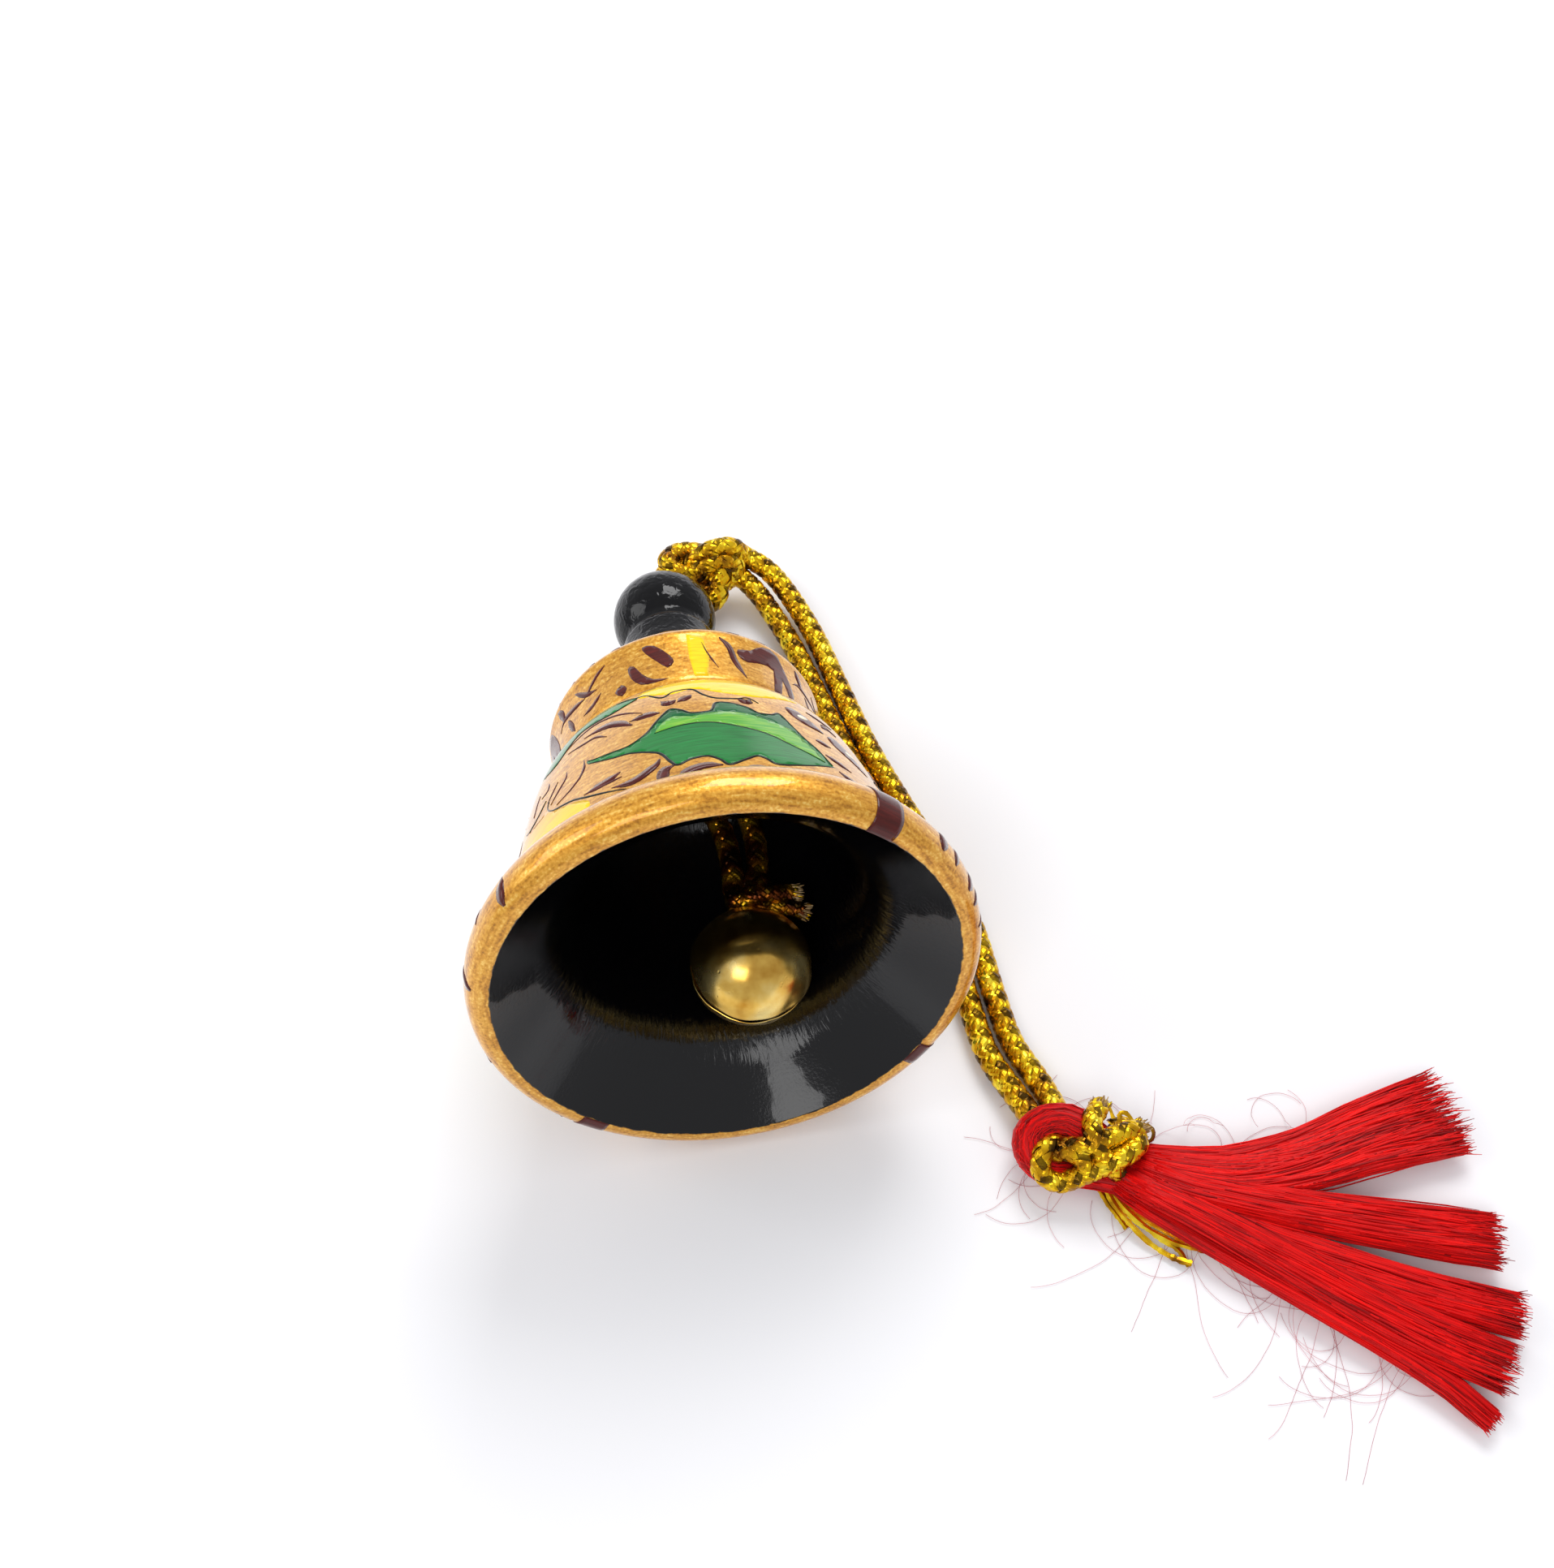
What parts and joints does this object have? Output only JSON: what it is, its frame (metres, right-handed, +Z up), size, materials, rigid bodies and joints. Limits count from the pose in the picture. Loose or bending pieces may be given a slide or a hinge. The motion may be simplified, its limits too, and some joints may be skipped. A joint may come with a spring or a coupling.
{
  "type": "christmas bell ornament",
  "caption": "Painted turned wooden bell with a black finial, a brass jingle bell on a doubled gold cord, a hanging loop and a knotted red floss tassel, lying on its side.",
  "frame": {"origin": "on the surface the bell lies on, under the centre of the bounding box of the bell without its outer cord", "axes": "+Z up; the bell's axis lies in the YZ plane with the mouth towards -Y and raised, the finial towards +Y; +X to the side where the cord and tassel lie"},
  "size_m": [0.0989, 0.1213, 0.0484],
  "materials": {
    "painted_gold_wood": "hand painted metallic gold under clear gloss lacquer",
    "black_lacquer": "gloss black lacquer",
    "polished_brass": "polished",
    "steel_pea": "plain",
    "gold_cord": "braided metallic foil cord",
    "red_floss": "silky floss"
  },
  "bodies": {
    "bell": {"bell_body": "painted_gold_wood", "finial": "black_lacquer"},
    "cord_in_bore": {"bore_strand_left": "gold_cord", "bore_strand_right": "gold_cord"},
    "clapper": {"clapper_strand_left": "gold_cord", "clapper_strand_right": "gold_cord", "clapper_knot": "gold_cord", "jingle_eye": "polished_brass", "jingle_shell_front": "polished_brass", "jingle_shell_back": "polished_brass"},
    "pea": {"jingle_pea": "steel_pea"},
    "hanger_knot": {"stop_knot": "gold_cord"},
    "loop": {"loop_strand_outer": "gold_cord", "loop_strand_inner": "gold_cord"},
    "tassel": {"tassel_head": "red_floss", "tie_knot": "gold_cord", "tuft_back": "red_floss", "tuft_second": "red_floss", "tuft_third": "red_floss", "tuft_fourth": "red_floss", "tuft_front": "red_floss", "foil_end_left": "gold_cord", "foil_end_right": "gold_cord"}
  },
  "joints": [
    {"name": "clapper_roll", "type": "hinge", "parent": "bell", "child": "cord_in_bore", "pos_m": [0, 0.00236, 0.01581], "axis": [0, 0.9623, -0.2718], "range_deg": [-170, 170]},
    {"name": "clapper_swing", "type": "hinge", "parent": "cord_in_bore", "child": "clapper", "pos_m": [0, 0.00236, 0.01581], "axis": [-0.9337, -0.0973, -0.3446], "range_deg": [0, 35]},
    {"name": "pea_travel", "type": "slide", "parent": "clapper", "child": "pea", "axis": [0, 0, 1], "range_m": [0, 0.0076]},
    {"name": "hanger_roll", "type": "hinge", "parent": "bell", "child": "hanger_knot", "pos_m": [0, 0.03306, 0.00714], "axis": [0, -0.9623, 0.2718], "range_deg": [0, 160]},
    {"name": "loop_yaw", "type": "hinge", "parent": "hanger_knot", "child": "loop", "pos_m": [0.0134, 0.0372, 0.0036], "axis": [0, 0, 1], "range_deg": [0, 75]},
    {"name": "tassel_swing", "type": "hinge", "parent": "loop", "child": "tassel", "pos_m": [0.031, -0.0372, 0.0022], "axis": [0, 0, 1], "range_deg": [-30, 30]}
  ]
}
